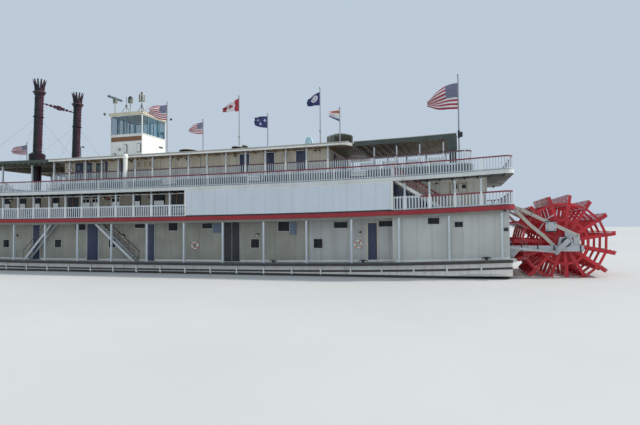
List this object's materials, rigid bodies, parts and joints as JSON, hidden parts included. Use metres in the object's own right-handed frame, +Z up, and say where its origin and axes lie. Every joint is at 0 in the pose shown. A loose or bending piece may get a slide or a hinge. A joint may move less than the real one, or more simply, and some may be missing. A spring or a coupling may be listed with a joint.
{
  "type": "sternwheel paddle steamer, 1:10 scale model",
  "caption": "Three-deck sternwheel river steamer with twin crowned chimneys, pilothouse and turning red paddle wheel, as a 1:10 scale model.",
  "frame": {"origin": "centre of the bounding box's bottom, on the flat underside of the hull", "axes": "+X aft towards the paddle wheel, +Y to starboard, +Z up"},
  "size_m": [8.0724, 1.4, 2.283],
  "materials": {
    "hull_paint": "white hull sides, oxide red under water",
    "deck_paint": "grey deck paint",
    "white_paint": "white gloss paint",
    "wall_paint": "off-white wall paint",
    "red_trim": "deep red fascia and rails",
    "sign_paint": "pale blue-grey bare board",
    "wheel_red": "bright red paint",
    "machine_steel": "worn bright steel",
    "timber_grey": "pale grey paint on timber and steel",
    "boiler_iron": "dull black iron",
    "chimney_black": "satin black paint",
    "canopy_green": "dark green paint",
    "door_navy": "navy paint",
    "stage_wood": "weathered planks",
    "rudder_red": "oxide red paint",
    "flag_cloth": "light woven bunting"
  },
  "bodies": {
    "ship": {"hull_bow": "hull_paint", "hull": "hull_paint", "main_deck": "deck_paint", "main_deck_aft": "deck_paint", "texas_deck": "deck_paint", "boiler_deck": "red_trim", "main_deck_posts": "white_paint", "hurricane_deck": "white_paint", "texas_roof": "white_paint", "pilothouse": "white_paint", "pilothouse_roof": "white_paint", "hurricane_deck_rail": "white_paint", "boiler_deck_gallery_port": "white_paint", "boiler_deck_gallery_starboard": "white_paint", "texas_deck_gallery_port": "white_paint", "texas_deck_gallery_starboard": "white_paint", "aft_stair_port": "white_paint", "aft_stair_starboard": "white_paint", "main_house_port": "wall_paint", "main_house_starboard": "wall_paint", "engine_house_port": "wall_paint", "engine_house_starboard": "wall_paint", "boiler_house_port": "wall_paint", "boiler_house_starboard": "wall_paint", "texas_house_port": "wall_paint", "texas_house_starboard": "wall_paint", "sign_board_port": "sign_paint", "sign_board_starboard": "sign_paint", "fore_canopy": "canopy_green", "aft_canopy": "canopy_green", "chimneys": "chimney_black", "boilers": "boiler_iron", "cylinder_timber_port": "timber_grey", "cylinder_timber_starboard": "timber_grey", "flag_fore": "flag_cloth", "flag_pilot": "flag_cloth", "flag_port_1": "flag_cloth", "flag_tall_1": "flag_cloth", "flag_port_2": "flag_cloth", "flag_tall_2": "flag_cloth", "flag_port_3": "flag_cloth", "flag_stern": "flag_cloth"},
    "paddle_wheel": {"paddle_wheel": "wheel_red", "wheel_shaft": "machine_steel"},
    "pitman_port": {"pitman_port": "machine_steel"},
    "pitman_starboard": {"pitman_starboard": "machine_steel"},
    "rudder_port": {"rudder_port": "rudder_red"},
    "rudder_starboard": {"rudder_starboard": "rudder_red"},
    "radar_scanner": {"radar_scanner": "white_paint"},
    "stage_derrick_port": {"stage_derrick_port": "white_paint"},
    "stage_derrick_starboard": {"stage_derrick_starboard": "white_paint"},
    "landing_stage_port": {"landing_stage_port": "stage_wood"},
    "landing_stage_starboard": {"landing_stage_starboard": "stage_wood"},
    "pilothouse_door": {"pilothouse_door": "white_paint"},
    "salon_door_fore_port": {"salon_door_fore_port": "door_navy"},
    "salon_door_fore_starboard": {"salon_door_fore_starboard": "door_navy"},
    "salon_door_aft_port": {"salon_door_aft_port": "door_navy"},
    "salon_door_aft_starboard": {"salon_door_aft_starboard": "door_navy"},
    "engine_room_door_port": {"engine_room_door_port": "door_navy"},
    "engine_room_door_starboard": {"engine_room_door_starboard": "door_navy"}
  },
  "joints": [
    {"name": "paddle_wheel_turn", "type": "hinge", "parent": "ship", "child": "paddle_wheel", "pos_m": [3.66084, 0, 0.465], "axis": [0, 1, 0], "continuous": true},
    {"name": "pitman_port_eye", "type": "hinge", "parent": "paddle_wheel", "child": "pitman_port", "pos_m": [3.58539, -0.501, 0.38955], "axis": [0, 1, 0], "continuous": true},
    {"name": "pitman_starboard_eye", "type": "hinge", "parent": "paddle_wheel", "child": "pitman_starboard", "pos_m": [3.73629, 0.501, 0.38955], "axis": [0, 1, 0], "continuous": true},
    {"name": "rudder_port_turn", "type": "hinge", "parent": "ship", "child": "rudder_port", "pos_m": [3.21384, -0.22, 0.09], "axis": [0, 0, 1], "range_deg": [-45, 45]},
    {"name": "rudder_starboard_turn", "type": "hinge", "parent": "ship", "child": "rudder_starboard", "pos_m": [3.21384, 0.22, 0.09], "axis": [0, 0, 1], "range_deg": [-45, 45]},
    {"name": "radar_turn", "type": "hinge", "parent": "ship", "child": "radar_scanner", "pos_m": [-0.76116, -0.16, 2.033], "axis": [0, 0, 1], "continuous": true},
    {"name": "stage_derrick_port_slew", "type": "hinge", "parent": "ship", "child": "stage_derrick_port", "pos_m": [-2.84616, -0.44, 0.67479], "axis": [0, 0, 1], "range_deg": [0, 75]},
    {"name": "landing_stage_port_tilt", "type": "hinge", "parent": "stage_derrick_port", "child": "landing_stage_port", "pos_m": [-3.42616, -0.44, 0.73579], "axis": [0, 1, 0], "range_deg": [-8, 8]},
    {"name": "stage_derrick_starboard_slew", "type": "hinge", "parent": "ship", "child": "stage_derrick_starboard", "pos_m": [-2.84616, 0.44, 0.67479], "axis": [0, 0, -1], "range_deg": [0, 75]},
    {"name": "landing_stage_starboard_tilt", "type": "hinge", "parent": "stage_derrick_starboard", "child": "landing_stage_starboard", "pos_m": [-3.42616, 0.44, 0.73579], "axis": [0, 1, 0], "range_deg": [-8, 8]},
    {"name": "salon_door_fore_port_hinge", "type": "hinge", "parent": "ship", "child": "salon_door_fore_port", "pos_m": [2.78584, -0.541, 0.813], "axis": [0, 0, -1], "range_deg": [0, 100]},
    {"name": "salon_door_aft_port_hinge", "type": "hinge", "parent": "ship", "child": "salon_door_aft_port", "pos_m": [2.91784, -0.541, 0.813], "axis": [0, 0, 1], "range_deg": [0, 100]},
    {"name": "engine_room_door_port_hinge", "type": "hinge", "parent": "ship", "child": "engine_room_door_port", "pos_m": [2.10084, -0.541, 0.463], "axis": [0, 0, -1], "range_deg": [0, 100]},
    {"name": "salon_door_fore_starboard_hinge", "type": "hinge", "parent": "ship", "child": "salon_door_fore_starboard", "pos_m": [2.78584, 0.541, 0.813], "axis": [0, 0, 1], "range_deg": [0, 100]},
    {"name": "salon_door_aft_starboard_hinge", "type": "hinge", "parent": "ship", "child": "salon_door_aft_starboard", "pos_m": [2.91784, 0.541, 0.813], "axis": [0, 0, -1], "range_deg": [0, 100]},
    {"name": "engine_room_door_starboard_hinge", "type": "hinge", "parent": "ship", "child": "engine_room_door_starboard", "pos_m": [2.10084, 0.541, 0.463], "axis": [0, 0, 1], "range_deg": [0, 100]},
    {"name": "pilothouse_door_hinge", "type": "hinge", "parent": "ship", "child": "pilothouse_door", "pos_m": [-0.47616, 0.215, 1.593], "axis": [0, 0, 1], "range_deg": [0, 100]}
  ],
  "couplings": [
    {"joint": "pitman_port_eye", "follows": "paddle_wheel_turn", "ratio": -1},
    {"joint": "pitman_starboard_eye", "follows": "paddle_wheel_turn", "ratio": -1},
    {"joint": "rudder_starboard_turn", "follows": "rudder_port_turn", "ratio": 1}
  ]
}
